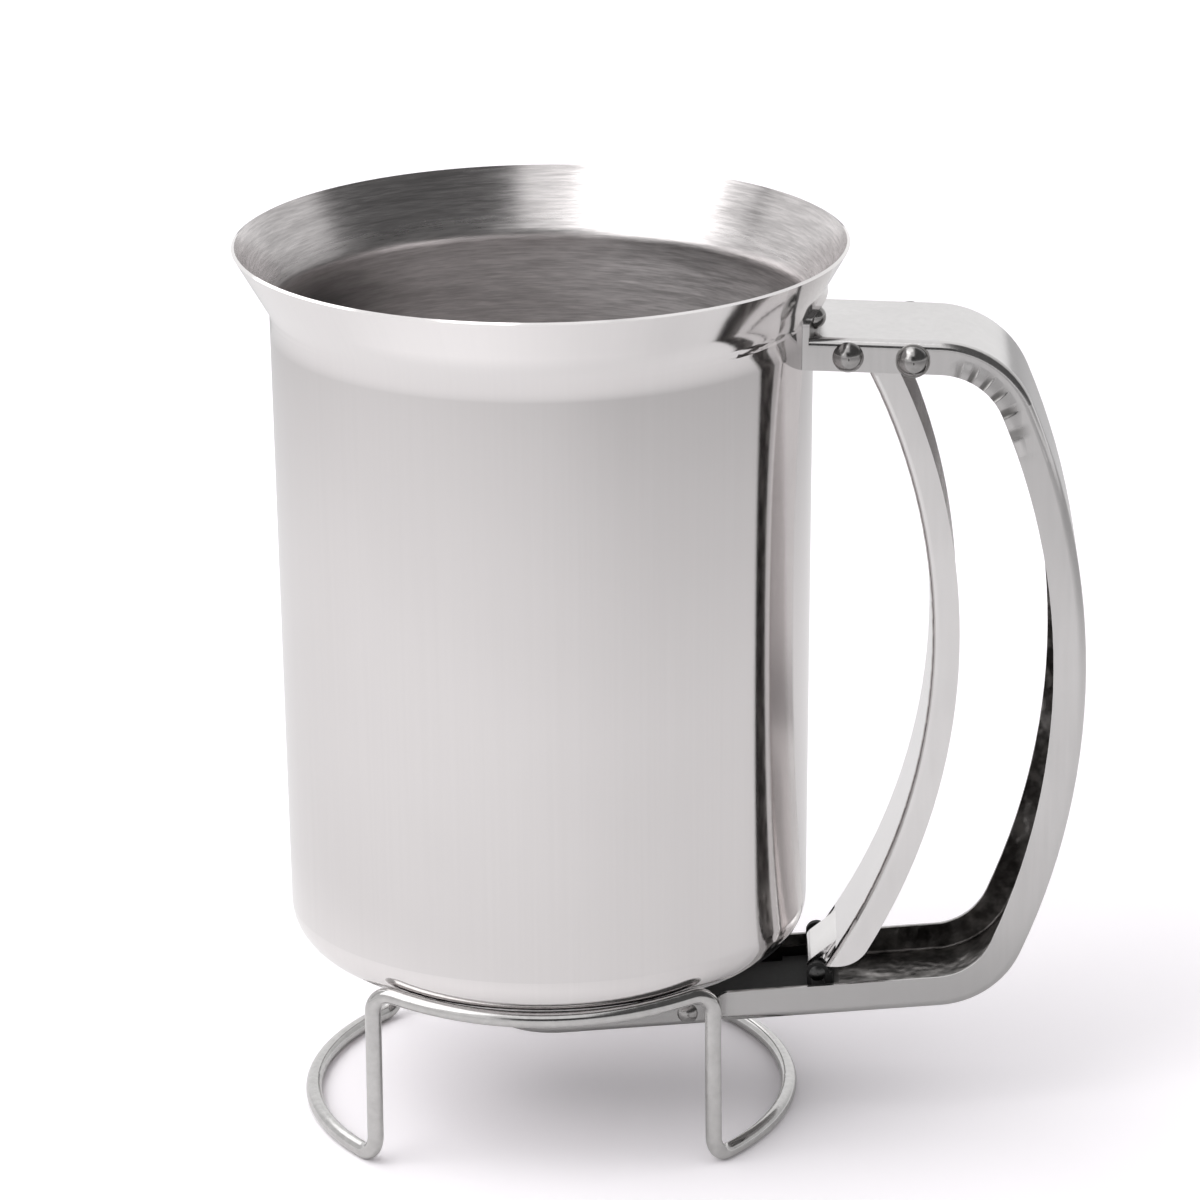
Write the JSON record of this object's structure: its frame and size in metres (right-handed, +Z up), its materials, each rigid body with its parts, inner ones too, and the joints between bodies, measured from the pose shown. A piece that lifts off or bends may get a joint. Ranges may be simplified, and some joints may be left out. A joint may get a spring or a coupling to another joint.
{
  "type": "batter dispenser",
  "caption": "Steel batter dispenser: open flared cup, pressed channel handle with squeeze trigger that pulls a slide plate from under the outlet, and a bent-wire stand.",
  "frame": {"origin": "on the floor under the cup's vertical axis, between the stand's feet", "axes": "+Z up along the cup's axis, +X towards the handle"},
  "size_m": [0.1453, 0.105, 0.155],
  "materials": {
    "stand_wire": "bright drawn wire, polished",
    "cup_steel": "mirror-polished outside, circumferentially brushed inside",
    "nozzle_steel": "turned steel",
    "seal_rubber": "matte black silicone",
    "handle_steel": "pressed sheet, satin polished",
    "rivet_steel": "polished domed heads",
    "washer_steel": "plain sheet",
    "guide_steel": "pressed sheet, satin polished",
    "bracket_steel": "plain sheet",
    "trigger_steel": "pressed sheet, satin polished",
    "spring_steel": "spring wire",
    "slide_plastic": "smooth black moulded plastic",
    "link_pin_steel": "dark turned steel"
  },
  "bodies": {
    "stand": {"wire_stand": "stand_wire"},
    "dispenser": {"cup_body": "cup_steel", "outlet_nozzle": "nozzle_steel", "nozzle_seal": "seal_rubber", "handle": "handle_steel", "handle_tab_rivets": "rivet_steel", "handle_cross_rivet": "rivet_steel", "trigger_pivot_pin": "rivet_steel", "pivot_washers": "washer_steel", "guide_arm": "guide_steel", "bottom_bracket": "bracket_steel", "guide_side_rivets": "rivet_steel"},
    "trigger": {"trigger": "trigger_steel", "trigger_return_spring": "spring_steel", "slide_link_pin": "link_pin_steel"},
    "slide": {"valve_slide": "slide_plastic"}
  },
  "joints": [
    {"name": "stand_lift", "type": "slide", "parent": "stand", "child": "dispenser", "axis": [0, 0, 1], "range_m": [0, 0.05]},
    {"name": "trigger_pivot", "type": "hinge", "parent": "dispenser", "child": "trigger", "pos_m": [0.0629, 0, 0.1374], "axis": [0, -1, 0], "range_deg": [0, 7.5], "stiffness_Nm_per_rad": 0.5, "springref_deg": -20.05},
    {"name": "valve_pull", "type": "slide", "parent": "dispenser", "child": "slide", "axis": [0.9971, 0, 0.0767], "range_m": [0, 0.0147]}
  ],
  "couplings": [
    {"joint": "valve_pull", "follows": "trigger_pivot", "m_per_rad": 0.11112}
  ]
}
